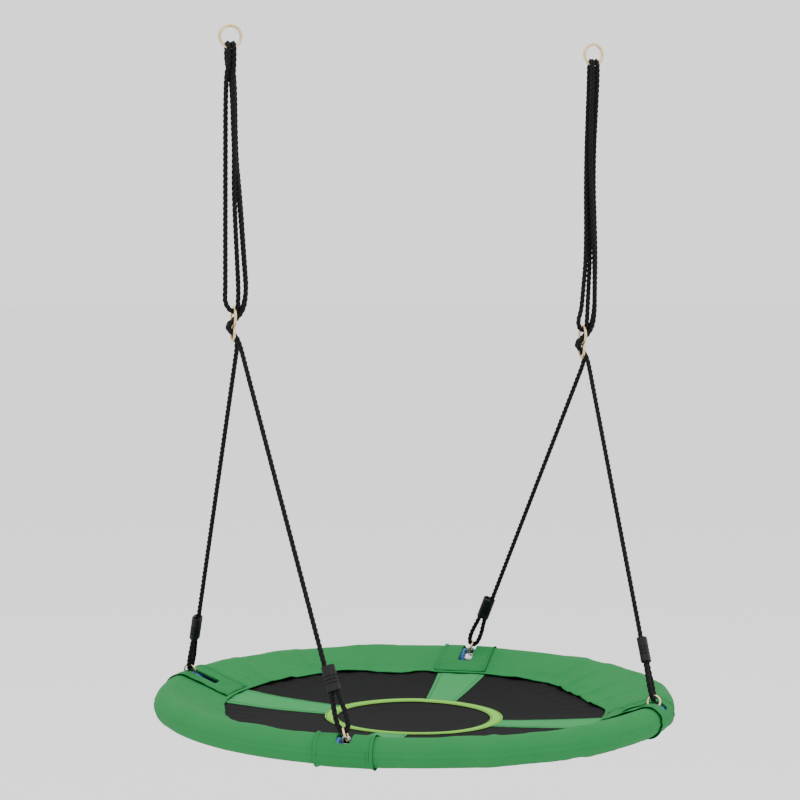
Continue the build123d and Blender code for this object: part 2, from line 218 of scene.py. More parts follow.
def paint(node, material):
    """Gives a CAD node its finish."""
    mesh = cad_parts[node].data
    mesh.materials.clear()
    mesh.materials.append(material)


SIDES = ("left", "right")
CORNERS = [f"{side}_{end}" for side in SIDES for end in ("back", "front")]
for side in SIDES:
    paint(f"{side}_hanging_ring", brass)
for corner in CORNERS:
    paint(f"{corner}_link", brass)

# ---------------------------------------------------------------- ropes
# Each side has one black three-strand rope, 9.5 mm thick. Its middle is doubled over the hanging
# ring, one bight is hooked under the adjuster's top, and both ends run down to an eye at the rim.

ROPE_LAY = 0.030  # length of one full turn of a strand
STRAND_RADIUS = 0.00245
STRAND_OFFSET = 0.00245
ROPE_STEP = 0.0022
YARNS = 9  # furrows seen round a strand
YARN_TURNS = 1100  # how fast they wind, in radians per metre
ROPE_ROUTES = {
    "left": (
        (-0.3345, 0.2905, -1.1197), (-0.3319, 0.3112, -1.1651), (-0.3342, 0.3253, -1.2050),
        (-0.3299, 0.3388, -1.2285), (-0.3191, 0.3471, -1.2241), (-0.3176, 0.3381, -1.1983),
        (-0.3241, 0.3173, -1.1619), (-0.3262, 0.2999, -1.1238), (-0.3549, 0.0649, -0.6101),
        (-0.3578, 0.0412, -0.5583), (-0.3691, 0.0424, -0.5432), (-0.3773, 0.0437, -0.5370),
        (-0.3773, 0.0430, -0.5268), (-0.3681, 0.0407, -0.5214), (-0.3504, 0.0359, -0.4990),
        (-0.3448, 0.0323, -0.4642), (-0.3485, 0.0302, -0.4295), (-0.3642, 0.0210, -0.2816),
        (-0.3730, 0.0195, -0.2164), (-0.3799, 0.0092, -0.0769), (-0.3860, 0.0092, -0.0490),
        (-0.3860, 0.0092, -0.0121), (-0.3902, -0.0112, -0.0121), (-0.3902, -0.0112, -0.0490),
        (-0.3919, -0.0092, -0.0769), (-0.3842, 0.0009, -0.2164), (-0.3814, 0.0093, -0.2816),
        (-0.3656, 0.0264, -0.4297), (-0.3619, 0.0304, -0.4643), (-0.3621, 0.0323, -0.4902),
        (-0.3622, 0.0333, -0.5038), (-0.3755, 0.0360, -0.5036), (-0.3867, 0.0371, -0.4869),
        (-0.3863, 0.0354, -0.4640), (-0.3877, 0.0323, -0.4292), (-0.3964, 0.0135, -0.2164),
        (-0.4002, 0.0045, -0.0769), (-0.4000, -0.0092, -0.0490), (-0.4000, -0.0092, -0.0121),
        (-0.3958, 0.0112, -0.0121), (-0.3958, 0.0112, -0.0490), (-0.3893, 0.0009, -0.0769),
        (-0.3804, 0.0111, -0.2164), (-0.3706, 0.0114, -0.2816), (-0.3537, 0.0206, -0.4302),
        (-0.3498, 0.0227, -0.4649), (-0.3525, 0.0257, -0.4997), (-0.3701, 0.0311, -0.5220),
        (-0.3793, 0.0334, -0.5275), (-0.3793, 0.0341, -0.5377), (-0.3711, 0.0329, -0.5439),
        (-0.3598, 0.0316, -0.5590), (-0.3575, 0.0040, -0.6088), (-0.3329, -0.2856, -1.1313),
        (-0.3312, -0.3059, -1.1680), (-0.3339, -0.3231, -1.2067), (-0.3298, -0.3383, -1.2290),
        (-0.3189, -0.3461, -1.2243), (-0.3170, -0.3351, -1.1993), (-0.3232, -0.3116, -1.1645),
        (-0.3253, -0.2874, -1.1208),
    ),
    "right": (
        (0.3270, 0.2854, -1.1219), (0.3243, 0.3103, -1.1651), (0.3175, 0.3344, -1.1994),
        (0.3191, 0.3458, -1.2242), (0.3300, 0.3383, -1.2293), (0.3344, 0.3227, -1.2072),
        (0.3323, 0.3048, -1.1688), (0.3346, 0.2838, -1.1325), (0.3648, 0.0042, -0.6481),
        (0.3679, -0.0243, -0.5988), (0.3566, -0.0231, -0.5837), (0.3484, -0.0218, -0.5775),
        (0.3484, -0.0225, -0.5673), (0.3576, -0.0248, -0.5619), (0.3753, -0.0296, -0.5395),
        (0.3809, -0.0332, -0.5047), (0.3829, -0.0309, -0.4698), (0.3872, -0.0259, -0.3928),
        (0.3864, -0.0134, -0.2310), (0.3944, -0.0115, -0.0770), (0.3958, -0.0112, -0.0490),
        (0.3958, -0.0112, -0.0121), (0.4000, 0.0092, -0.0121), (0.4000, 0.0092, -0.0490),
        (0.3973, 0.0072, -0.0768), (0.3824, -0.0041, -0.2310), (0.3783, -0.0195, -0.3928),
        (0.3683, -0.0303, -0.4704), (0.3638, -0.0351, -0.5048), (0.3636, -0.0332, -0.5307),
        (0.3635, -0.0322, -0.5443), (0.3502, -0.0295, -0.5441), (0.3448, -0.0296, -0.5275),
        (0.3512, -0.0325, -0.5047), (0.3564, -0.0293, -0.4702), (0.3681, -0.0220, -0.3928),
        (0.3730, -0.0082, -0.2310), (0.3876, 0.0082, -0.0767), (0.3902, 0.0112, -0.0490),
        (0.3902, 0.0112, -0.0121), (0.3860, -0.0092, -0.0121), (0.3860, -0.0092, -0.0490),
        (0.3846, -0.0105, -0.0769), (0.3771, -0.0175, -0.2310), (0.3795, -0.0335, -0.3928),
        (0.3770, -0.0399, -0.4705), (0.3759, -0.0428, -0.5054), (0.3732, -0.0398, -0.5402),
        (0.3556, -0.0344, -0.5625), (0.3464, -0.0321, -0.5680), (0.3464, -0.0314, -0.5782),
        (0.3546, -0.0326, -0.5844), (0.3659, -0.0339, -0.5995), (0.3622, -0.0593, -0.6504),
        (0.3279, -0.2961, -1.1255), (0.3252, -0.3148, -1.1630), (0.3181, -0.3367, -1.1986),
        (0.3193, -0.3466, -1.2241), (0.3300, -0.3386, -1.2288), (0.3347, -0.3244, -1.2059),
        (0.3330, -0.3089, -1.1665), (0.3363, -0.2867, -1.1218),
    ),
}

rope_black, board, shader, place = finish_of("black_rope", Specular_IOR_Level=0.12)
yarns = board.node("ShaderNodeUVMap", {"uv_map": "strand"}).outputs[0]
split = board.node("ShaderNodeSeparateXYZ", None, {"Vector": yarns})
along, around = board.value(split, 0), board.value(split, 1)
furrow = (around * YARNS * 2 * math.pi + along * YARN_TURNS).math("SINE") * 0.5 + 0.5
fuzz = board.speckle(place, 1400, 3)
wear = board.speckle(place, 35, 3)
# The strands are painted darker in their yarn furrows, which is painted shade between the yarns; fuzz
# adds random tone.
shade = board.blend(furrow * 0.6 + fuzz * 0.4, (0.002, 0.002, 0.0022, 1), (0.010, 0.010, 0.011, 1))
plug(board.tree, shader.inputs["Base Color"], shade)
plug(board.tree, shader.inputs["Roughness"], level(wear * 0.5 + fuzz * 0.5, 0.45, 0.75))
plug(board.tree, shader.inputs["Normal"], board.bump(furrow * 0.7 + fuzz * 0.3, 0.0003))


def new_tree(name, inputs):
    """A geometry tree with named inputs; returns its board and its group's ends."""
    tree = bpy.data.node_groups.new(name, "GeometryNodeTree")
    tree.interface.new_socket("Geometry", in_out="INPUT", socket_type="NodeSocketGeometry")
    for title, kind in inputs.items():
        tree.interface.new_socket(title, in_out="INPUT", socket_type=kind)
    tree.interface.new_socket("Geometry", in_out="OUTPUT", socket_type="NodeSocketGeometry")
    made = Board(tree)
    return made, made.node("NodeGroupInput"), made.node("NodeGroupOutput")


def grow(name, source, tree, values):
    """Runs a geometry tree on a mesh and returns the result as a plain mesh object."""
    holder = bpy.data.objects.new(name, source)
    bpy.context.collection.objects.link(holder)
    made = holder.modifiers.new("grow", "NODES")
    made.node_group = tree
    for item in tree.interface.items_tree:
        if item.in_out == "INPUT" and item.name in values:
            made[item.identifier] = values[item.name]
    depsgraph = bpy.context.evaluated_depsgraph_get()
    mesh = bpy.data.meshes.new_from_object(holder.evaluated_get(depsgraph))
    bpy.data.objects.remove(holder)
    mesh.name = name
    result = bpy.data.objects.new(name, mesh)
    bpy.context.collection.objects.link(result)
    return result


def line_mesh(points, closed=False):
    """A bare line of points."""
    mesh = bpy.data.meshes.new("line")
    edges = [(i, i + 1) for i in range(len(points) - 1)]
    if closed:
        edges.append((len(points) - 1, 0))
    mesh.from_pydata(points, edges, [])
    return mesh


# Lays three strands round a line: each is swept along the line turned off its middle.
laid, start, end = new_tree(
    "laid_rope",
    {
        "Lay": "NodeSocketFloat",
        "Strand Radius": "NodeSocketFloat",
        "Strand Offset": "NodeSocketFloat",
        "Step": "NodeSocketFloat",
        "Material": "NodeSocketMaterial",
    },
)
middle = laid.node("GeometryNodeMeshToCurve", None, {"Mesh": start.outputs["Geometry"]})
middle = laid.node(
    "GeometryNodeResampleCurve",
    {"mode": "LENGTH"},
    {"Curve": middle.outputs[0], "Length": start.outputs["Step"]},
)
middle = laid.node("GeometryNodeSetCurveNormal", {"mode": "MINIMUM_TWIST"}, {"Curve": middle.outputs[0]})
run = laid.value(laid.node("GeometryNodeSplineParameter"), "Length")
across = laid.node("GeometryNodeInputNormal").outputs[0]
ahead = laid.node("GeometryNodeInputTangent").outputs[0]
beside = laid.node("ShaderNodeVectorMath", {"operation": "CROSS_PRODUCT"}, {0: ahead, 1: across})
strands = laid.node("GeometryNodeJoinGeometry")
for number in range(3):
    angle = run * (2 * math.pi) / Value(laid.tree, start.outputs["Lay"]) + number * 2 * math.pi / 3
    offset = Value(laid.tree, start.outputs["Strand Offset"])
    out_way = laid.node("ShaderNodeVectorMath", {"operation": "SCALE"}, {0: across})
    plug(laid.tree, out_way.inputs["Scale"], angle.math("COSINE") * offset)
    side_way = laid.node("ShaderNodeVectorMath", {"operation": "SCALE"}, {0: beside.outputs[0]})
    plug(laid.tree, side_way.inputs["Scale"], angle.math("SINE") * offset)
    shift = laid.node(
        "ShaderNodeVectorMath", {"operation": "ADD"}, {0: out_way.outputs[0], 1: side_way.outputs[0]}
    )
    moved = laid.node(
        "GeometryNodeSetPosition", None, {"Geometry": middle.outputs[0], "Offset": shift.outputs[0]}
    )
    kept = laid.node(
        "GeometryNodeCaptureAttribute", {"domain": "POINT"}, {"Geometry": moved.outputs[0]}
    )
    kept.capture_items.new("FLOAT", "run")
    plug(laid.tree, kept.inputs[1], laid.node("GeometryNodeSplineParameter").outputs["Length"])
    ring = laid.node(
        "GeometryNodeCurvePrimitiveCircle",
        {"mode": "RADIUS"},
        {"Resolution": 9, "Radius": start.outputs["Strand Radius"]},
    )
    ringed = laid.node(
        "GeometryNodeCaptureAttribute", {"domain": "POINT"}, {"Geometry": ring.outputs[0]}
    )
    ringed.capture_items.new("FLOAT", "round")
    plug(laid.tree, ringed.inputs[1], laid.node("GeometryNodeSplineParameter").outputs["Factor"])
    swept = laid.node(
        "GeometryNodeCurveToMesh",
        None,
        {"Curve": kept.outputs[0], "Profile Curve": ringed.outputs[0], "Fill Caps": True},
    )
    both = laid.node(
        "ShaderNodeCombineXYZ", None, {"X": kept.outputs[1], "Y": ringed.outputs[1]}
    )
    mapped = laid.node(
        "GeometryNodeStoreNamedAttribute",
        {"data_type": "FLOAT2", "domain": "CORNER"},
        {"Geometry": swept.outputs[0], "Name": "strand", "Value": both.outputs[0]},
    )
    laid.tree.links.new(mapped.outputs[0], strands.inputs[0])
smooth = laid.node("GeometryNodeSetShadeSmooth", None, {"Geometry": strands.outputs[0]})
real = laid.node("GeometryNodeRealizeInstances", None, {"Geometry": smooth.outputs[0]})
dressed = laid.node(
    "GeometryNodeSetMaterial",
    None,
    {"Geometry": real.outputs[0], "Material": start.outputs["Material"]},
)
laid.tree.links.new(dressed.outputs[0], end.inputs[0])


def read_route(points):
    """The smooth line through a route, as a list of points."""
    curve = bpy.data.curves.new("route", "CURVE")
    curve.dimensions = "3D"
    spline = curve.splines.new("NURBS")
    spline.points.add(len(points) - 1)
    for knot, point in zip(spline.points, points):
        knot.co = (*point, 1)
    spline.order_u = 3
    spline.use_endpoint_u = True
    spline.resolution_u = 12
    holder = bpy.data.objects.new("route", curve)
    mesh = bpy.data.meshes.new_from_object(holder)
    line = [vertex.co.copy() for vertex in mesh.vertices]
    bpy.data.objects.remove(holder)
    bpy.data.meshes.remove(mesh)
    return line


for side in SIDES:
    route = ROPE_ROUTES[side]
    line = read_route(route)
    sizes = {
        "Lay": ROPE_LAY,
        "Strand Radius": STRAND_RADIUS,
        "Strand Offset": STRAND_OFFSET,
        "Step": ROPE_STEP,
        "Material": rope_black,
    }
    rope = grow(f"{side}_rope", line_mesh(line), laid.tree, sizes)
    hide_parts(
        f"{side}_rope_hitch",
        f"{side}_back_rope",
        f"{side}_front_rope",
        f"{side}_rope_bight",
    )
    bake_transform(rope)

# ---------------------------------------------------------------- rope adjusters
# One piece of 5 mm brassed wire, bent into a large loop and a small one.

for side in SIDES:
    paint(f"{side}_rope_adjuster", brass)

# ---------------------------------------------------------------- rope clamps
# Black moulded sleeves with three grooves, pressed round a leg and its tail.

moulding, board, shader, place = finish_of("moulded_black", Specular_IOR_Level=0.22)
grain = board.speckle(place, 1800, 3)
scuffs = board.speckle(place, 90, 5)
shade = board.blend(scuffs, (0.003, 0.003, 0.0033, 1), (0.009, 0.009, 0.0095, 1))
plug(board.tree, shader.inputs["Base Color"], shade)
plug(board.tree, shader.inputs["Roughness"], level(scuffs, 0.42, 0.68))
plug(board.tree, shader.inputs["Normal"], board.bump(grain, 0.0001))
for corner in CORNERS:
    paint(f"{corner}_clamp", moulding)

# ---------------------------------------------------------------- rim, lugs and screws
# Zinc-plated steel: four bent tubes screwed together, each joint under a wire lug.

zinc, board, shader, place = finish_of("galvanised_steel", Metallic=1.0)
spangle = board.node("ShaderNodeTexVoronoi", None, {"Vector": place, "Scale": 220.0})
flake = board.value(spangle)
smears = board.speckle(place, 40, 4)
zinc_colour = board.blend(flake * 0.5 + smears * 0.5, (0.62, 0.63, 0.65, 1), (0.40, 0.41, 0.43, 1))
plug(board.tree, shader.inputs["Base Color"], zinc_colour)
plug(board.tree, shader.inputs["Roughness"], level(smears * 0.7 + flake * 0.3, 0.22, 0.45))
plug(board.tree, shader.inputs["Normal"], board.bump(smears, 0.0001))
for corner in CORNERS:
    paint(f"{corner}_lug", zinc)
    paint(f"{corner}_rim_tube", zinc)
paint("rim_screws", zinc)

# ---------------------------------------------------------------- foam sleeves
# Blue closed-cell foam, slid over the rim between the lugs. Seen only through the cover's slots.

RIM_Z = -1.26
RIM_RADIUS = 0.475
LUG_ANGLES = {"right_back": 47, "left_back": 133, "left_front": 227, "right_front": 313}
LUG_LINES = [math.radians(angle) for angle in LUG_ANGLES.values()]
FOAM_RADIUS = 0.023
FOAM_BORE = 0.0129
FOAM_GAP = 0.0107  # from a lug to the foam's end
FOAM_ROUND = 32

foam_blue, board, shader, place = finish_of("blue_foam", Roughness=0.85, Specular_IOR_Level=0.25)
cells = board.value(board.node("ShaderNodeTexVoronoi", None, {"Vector": place, "Scale": 1100.0}))
cloud = board.speckle(place, 45, 3)
shade = board.blend(cells * 0.4 + cloud * 0.6, (0.10, 0.26, 0.55, 1), (0.05, 0.17, 0.42, 1))
plug(board.tree, shader.inputs["Base Color"], shade)
plug(board.tree, shader.inputs["Normal"], board.bump(cells, 0.0004))


def shown(name, mesh, material, node):
    """Puts a seat piece in the scene in place of its CAD node."""
    mesh.materials.clear()
    mesh.materials.append(material)
    for face in mesh.polygons:
        face.use_smooth = True
    piece = bpy.data.objects.new(name, mesh)
    bpy.context.collection.objects.link(piece)
    if node:
        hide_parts(node)
    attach(piece, "seat")
    return piece


FOAM_SPANS = {"back": (0, 1), "left": (1, 2), "front": (2, 3), "right": (3, 0)}
for span, (first, last) in FOAM_SPANS.items():
    gap = FOAM_GAP / RIM_RADIUS
    a0 = LUG_LINES[first] + gap
    a1 = LUG_LINES[last] - gap + (2 * math.pi if last < first else 0)
    length = (a1 - a0) * RIM_RADIUS
    steps = 70
    ends = [(0, FOAM_BORE), (0, 0.0205), (0.0007, 0.0221), (0.003, FOAM_RADIUS)]
    outside = [(length * i / steps, FOAM_RADIUS) for i in range(1, steps)]
    inside = [(length * i / 16, FOAM_BORE) for i in range(15, 0, -1)]
    loop = ends + outside + [(length - d, r) for d, r in reversed(ends)] + inside
    points, faces = [], []
    for d, radius in loop:
        angle = a0 + d / RIM_RADIUS
        swell = 1 + 0.012 * noise.noise(Vector((d * 25, first * 3.1, 0))) * (radius > 0.02)
        for j in range(FOAM_ROUND):
            b = 2 * math.pi * j / FOAM_ROUND
            r = RIM_RADIUS + radius * swell * math.cos(b)
            points.append((r * math.cos(angle), r * math.sin(angle), RIM_Z + radius * math.sin(b)))
    for i in range(len(loop)):
        n = (i + 1) % len(loop)
        for j in range(FOAM_ROUND):
            k = (j + 1) % FOAM_ROUND
            faces.append(
                (i * FOAM_ROUND + j, n * FOAM_ROUND + j, n * FOAM_ROUND + k, i * FOAM_ROUND + k)
            )
    mesh = bpy.data.meshes.new(f"{span}_foam_sleeve")
    mesh.from_pydata(points, [], faces)
    sleeve = shown(f"{span}_foam_sleeve", mesh, foam_blue, f"{span}_foam")

# ---------------------------------------------------------------- mat
# Black woven fabric, stretched inside the rim and dished by its own weight.

MAT_CENTRE = -0.0368
MAT_CURVE = 0.16416
MAT_THICKNESS = 0.0016
# How far from the axis the green cover's inner edge lies, by direction.
EDGE_TABLE = {
    -60: 380, -41: 370, -34: 370, -17: 348, -1: 351, 16: 371, 30: 369, 38: 375, 54: 370,
    58: 378, 61: 375, 64: 366, 66: 363, 73: 370, 77: 384, 85: 388, 91: 386, 101: 379,
    113: 375, 125: 372, 146: 370, 158: 368, 169: 374, 190: 370, 215: 371, 240: 369, 270: 371,
}


def weave_finish(name, low, high, rough, pitch=0.0012, height=0.00018):
    """A plain-woven cloth, from a colour to a slightly lighter one."""
    made, board, shader, place = finish_of(name, Specular_IOR_Level=0.06)
    threads = board.node("ShaderNodeUVMap", {"uv_map": "cloth"}).outputs[0]
    split = board.node("ShaderNodeSeparateXYZ", None, {"Vector": threads})
    turns = 2 * math.pi / pitch
    warp = (board.value(split, 0) * turns).math("SINE")
    weft = (board.value(split, 1) * turns).math("SINE")
    weave = (warp * weft) * 0.5 + 0.5
    slub = board.speckle(place, 420, 3)
    faded = board.speckle(place, 9, 4)
    # The weave term makes the cloth darker where its threads dip, which is painted shade in the weave;
    # slub and faded are random tone.
    mix = weave * 0.2 + slub * 0.35 + faded * 0.45
    plug(board.tree, shader.inputs["Base Color"], board.blend(mix, low, high))
    plug(board.tree, shader.inputs["Roughness"], level(slub, *rough))
    plug(board.tree, shader.inputs["Normal"], board.bump(weave * 0.7 + slub * 0.3, height))
    return made


def cloth_mesh(name, grid, flat, thickness, closed=False, holes=()):
    """A sheet through a grid of points, given as columns, with flat (u, v) for each point."""
    width, height = len(grid), len(grid[0])
    points = [point for column in grid for point in column]
    faces = []
    for i in range(width if closed else width - 1):
        n = (i + 1) % width
        for j in range(height - 1):
            if (i, j) not in holes:
                faces.append((i * height + j, n * height + j, n * height + j + 1, i * height + j + 1))
    mesh = bpy.data.meshes.new(name)
    mesh.from_pydata(points, [], faces)
    layer = mesh.uv_layers.new(name="cloth")
    for loop in mesh.loops:
        i, j = divmod(loop.vertex_index, height)
        layer.data[loop.index].uv = flat[i][j]
    holder = bpy.data.objects.new(name, mesh)
    bpy.context.collection.objects.link(holder)
    shell = holder.modifiers.new("thickness", "SOLIDIFY")
    shell.thickness = thickness
    shell.offset = -1
    depsgraph = bpy.context.evaluated_depsgraph_get()
    solid = bpy.data.meshes.new_from_object(holder.evaluated_get(depsgraph))
    bpy.data.objects.remove(holder)
    solid.name = name
    return solid


def edge_radius(angle):
    """The cover's inner edge, in metres from the axis, in a direction in radians."""
    degrees = math.degrees(angle)
    knots = sorted(EDGE_TABLE.items())
    degrees = (degrees - knots[0][0]) % 360 + knots[0][0]
    knots.append((knots[0][0] + 360, knots[0][1]))
    for (a, low), (b, high) in zip(knots, knots[1:]):
        if a <= degrees <= b:
            f = (degrees - a) / (b - a)
            f = f * f * (3 - 2 * f)
            return (low + (high - low) * f) / 1000
    return knots[0][1] / 1000


def mat_height(x, y):
    """The mat's top, with the gentle unevenness of stretched cloth."""
    r = math.hypot(x, y)
    pull = 0.0012 * noise.noise(Vector((x * 7, y * 7, 0.3)))
    angle = math.atan2(y, x)
    ray = 0.0007 * math.sin(angle * 46 + 4 * noise.noise(Vector((x * 4, y * 4, 2.2))))
    near_edge = max(0.0, min(1.0, (r - 0.27) / 0.1))
    return RIM_Z + MAT_CENTRE + MAT_CURVE * r * r + pull * (1 - near_edge * 0.6) + ray * near_edge


mat_black = weave_finish(
    "black_mat", (0.006, 0.006, 0.006, 1), (0.013, 0.013, 0.0135, 1), (0.75, 0.95)
)
rays, rings = 288, 48
grid, flat = [], []
for i in range(rays):
    angle = -2 * math.pi * i / rays
    rim = edge_radius(angle) + 0.004
    column, cut = [], []
    for j in range(rings + 1):
        r = 0.001 + (rim - 0.001) * j / rings
        x, y = r * math.cos(angle), r * math.sin(angle)
        column.append((x, y, mat_height(x, y)))
        cut.append((x, y))
    grid.append(column)
    flat.append(cut)
mesh = cloth_mesh("black_mat", grid, flat, MAT_THICKNESS, closed=True)
mat = shown("black_mat", mesh, mat_black, "seat_mat")

# ---------------------------------------------------------------- spokes and centre circle
# Green webbing sewn on the mat: a tapering spoke towards each lug, and a pale ring over their ends.

SPOKES = {
    # lug: (clockwise, anticlockwise) half widths at the edge, and at the ring
    "right_back": ((0.055, 0.045), (0.040, 0.019)),
    "left_back": ((0.048, 0.083), (0.047, 0.037)),
    "left_front": ((0.046, 0.046), (0.030, 0.030)),
    "right_front": ((0.079, 0.037), (0.034, 0.028)),
}
SPOKE_START = 0.158
SPOKE_LIFT = 0.0009
CIRCLE_OUTER = 0.172
CIRCLE_WIDTH = 0.024
CIRCLE_LIFT = 0.0019
RING_JOINS = (55, 242)  # directions in degrees
RING_STEP_OUT = 0.0015
RING_STEP_IN = -0.0005

spoke_green = weave_finish(
    "green_webbing", (0.030, 0.240, 0.070, 1), (0.048, 0.300, 0.100, 1), (0.75, 0.95)
)
ring_green = weave_finish(
    "pale_webbing", (0.170, 0.480, 0.055, 1), (0.230, 0.560, 0.080, 1), (0.75, 0.95)
)
spoke_meshes = bmesh.new()
stitch_lines = {"spoke": [], "ring": [], "cover": [], "cuff": []}
for lug, (outer, inner) in SPOKES.items():
    line = math.radians(LUG_ANGLES[lug])
    ahead = Vector((math.cos(line), math.sin(line), 0))
    beside = Vector((-math.sin(line), math.cos(line), 0))
    grid, flat = [], []
    for i in range(25):
        column, cut = [], []
        for j in range(53):
            f = j / 52
            tip_across = -outer[0] + (outer[0] + outer[1]) * i / 24
            tip = edge_radius(line + tip_across / 0.37) + 0.003
            stop = math.sqrt(tip**2 - tip_across**2)
            run = SPOKE_START + (stop - SPOKE_START) * f
            near = -(inner[0] + (outer[0] - inner[0]) * f)
            far = inner[1] + (outer[1] - inner[1]) * f
            across = near + (far - near) * i / 24
            spot = ahead * run + beside * across
            hem = 0.0004 if i in (1, 2, 22, 23) else 0
            ripple = 0.0005 * noise.noise(Vector((spot.x * 40, spot.y * 40, 5)))
            height = mat_height(spot.x, spot.y) + SPOKE_LIFT + hem + abs(ripple)
            column.append((spot.x, spot.y, height))
            cut.append((across, run))
        grid.append(column[::-1])
        flat.append(cut[::-1])
    part = cloth_mesh("spoke", grid, flat, 0.0009)
    spoke_meshes.from_mesh(part)
    bpy.data.meshes.remove(part)
    for i in (2, 22):
        seam = [Vector(point) + Vector((0, 0, 0.0002)) for point in grid[i]]
        stitch_lines["spoke"].append([p for p in seam if CIRCLE_OUTER < p.xy.length < 0.372])
joined = bpy.data.meshes.new("green_spokes")
spoke_meshes.to_mesh(joined)
spoke_meshes.free()
spokes = shown("green_spokes", joined, spoke_green, "spoke_straps")

grid, flat = [], []
for i in range(240):
    angle = -2 * math.pi * i / 240
    # The ring is made of lengths that meet with a small step.
    direction = math.degrees(angle) % 360
    step = RING_STEP_OUT if RING_JOINS[0] < direction < RING_JOINS[1] else RING_STEP_IN
    column, cut = [], []
    for j in range(9):
        r = CIRCLE_OUTER + step - CIRCLE_WIDTH * (1 - j / 8)
        x, y = r * math.cos(angle), r * math.sin(angle)
        column.append((x, y, mat_height(x, y) + CIRCLE_LIFT + (0.0004 if j in (1, 7) else 0)))
        cut.append((r * angle, r))
    grid.append(column)
    flat.append(cut)
mesh = cloth_mesh("pale_ring", grid, flat, 0.0009, closed=True)
ring = shown("pale_ring", mesh, ring_green, "centre_circle")
for j in (1, 7):
    seam = [Vector(column[j]) + Vector((0, 0, 0.0002)) for column in grid]
    stitch_lines["ring"].append(seam + seam[:1])

# ---------------------------------------------------------------- padded cover
# A green fabric pocket round the foam, sewn to the mat's edge, with a slot over each lug.

COVER_RADIUS = 0.025
COVER_THICKNESS = 0.0011
SLOT_HALF = 0.014
SLOT_FIRST = 0.415
SLOT_ROUND = 0.006
TOP_TANGENT = math.radians(111.8)
SLOT_END = math.radians(36.87)
LOW_TANGENT = math.radians(-96.2)
SIDE = 0.060  # columns run parallel to a lug's line within this distance of it
CUFF_HALF = 0.054
INNER_SEAMS = (0.006, 0.012, 0.018, 0.024, 0.030)  # lengths along the outline from the mat
OUTER_SEAMS = (0.148, 0.158)

cover_green = weave_finish(
    "green_cover", (0.018, 0.175, 0.048, 1), (0.030, 0.225, 0.068, 1), (0.7, 0.9)
)


def section(angle, row):
    """A row of the cover's outline: radius, height, outward direction and length along it."""
    zone, f = row
    inner = edge_radius(angle)
    lip = MAT_CENTRE + MAT_CURVE * inner * inner + 0.0022
    tangent = (
        RIM_RADIUS + COVER_RADIUS * math.cos(TOP_TANGENT),
        COVER_RADIUS * math.sin(TOP_TANGENT),
    )
    if zone in ("inner", "slot"):
        first = inner if zone == "inner" else SLOT_FIRST
        last = SLOT_FIRST if zone == "inner" else tangent[0]
        r = first + (last - first) * f
        rise = (tangent[1] - lip) / (tangent[0] - inner)
        long = math.hypot(1, rise)
        return r, lip + (r - inner) * rise, (-rise / long, 1 / long), (r - inner) * long
    if zone == "round":
        around = COVER_RADIUS * (TOP_TANGENT - f)
        out = (math.cos(f), math.sin(f))
        r, z = RIM_RADIUS + COVER_RADIUS * out[0], COVER_RADIUS * out[1]
        return r, z, out, 0.102 + around
    low = (
        RIM_RADIUS + COVER_RADIUS * math.cos(LOW_TANGENT),
        COVER_RADIUS * math.sin(LOW_TANGENT),
    )
    end = (inner + 0.001, lip - 0.0052)
    r, z = low[0] + (end[0] - low[0]) * f, low[1] + (end[1] - low[1]) * f
    rise = (end[1] - low[1]) / (low[0] - end[0])
    long = math.hypot(1, rise)
    return r, z, (-rise / long, -1 / long), 0.193 + 0.102 * f


slot_rise = math.hypot(1, 0.37)
ROWS = [("inner", i / 14) for i in range(14)]
slot_long = (0.4657 - SLOT_FIRST) * slot_rise
ROWS += [("slot", d / slot_long) for d in (0, 0.001, 0.003, 0.006)]
ROWS += [("slot", (0.006 + (slot_long - 0.006) * i / 11) / slot_long) for i in range(1, 12)]
round_stop = SLOT_END + SLOT_ROUND / COVER_RADIUS
ROWS += [("round", TOP_TANGENT + (round_stop - TOP_TANGENT) * i / 7) for i in range(1, 8)]
ROWS += [("round", SLOT_END + d / COVER_RADIUS) for d in (0.003, 0.001, 0)]
ROWS += [("round", SLOT_END + (LOW_TANGENT - SLOT_END) * i / 18) for i in range(1, 19)]
ROWS += [("under", i / 13) for i in range(1, 14)]
SLOT_ROWS = (14, 14 + 4 + 11 + 7 + 3 - 1)

NEAR_T = [0, 5, 10, 14, 16, 19, 24, 30, 36, 42, 48, 54, 60]
PARALLEL = [-t / 1000 for t in reversed(NEAR_T[1:])] + [t / 1000 for t in NEAR_T]
COLUMNS = []
for lug in range(4):
    COLUMNS += [("lug", lug, t) for t in PARALLEL]
    COLUMNS += [("span", lug, i / 112) for i in range(1, 112)]


def slot_width(row_number):
    """Half the slot's width at a row, with its rounded corners; wide open away from the slot."""
    first, last = SLOT_ROWS
    along = [section(0.0, row)[3] for row in ROWS]
    d = min(along[row_number] - along[first], along[last] - along[row_number])
    if d >= 0:
        inside = min(d, SLOT_ROUND)
        return SLOT_HALF - SLOT_ROUND + math.sqrt(SLOT_ROUND**2 - (SLOT_ROUND - inside) ** 2)
    return SLOT_HALF - SLOT_ROUND * max(0.0, 1 + d / 0.008)


WIDTHS = [slot_width(j) for j in range(len(ROWS))]


def column_angle(column, r, row_number):
    """The direction of a column at a radius."""
    kind, lug, t = column
    if kind == "lug":
        w, wide = WIDTHS[row_number], abs(t)
        if wide <= SLOT_HALF:
            wide *= w / SLOT_HALF
        elif wide < 0.024:
            wide = w + (wide - SLOT_HALF) * (0.024 - w) / (0.024 - SLOT_HALF)
        return LUG_LINES[lug] + math.asin(math.copysign(wide, t) / r)
    a0 = LUG_LINES[lug] + math.asin(SIDE / r)
    a1 = LUG_LINES[(lug + 1) % 4] - math.asin(SIDE / r) + (2 * math.pi if lug == 3 else 0)
    return a0 + (a1 - a0) * t


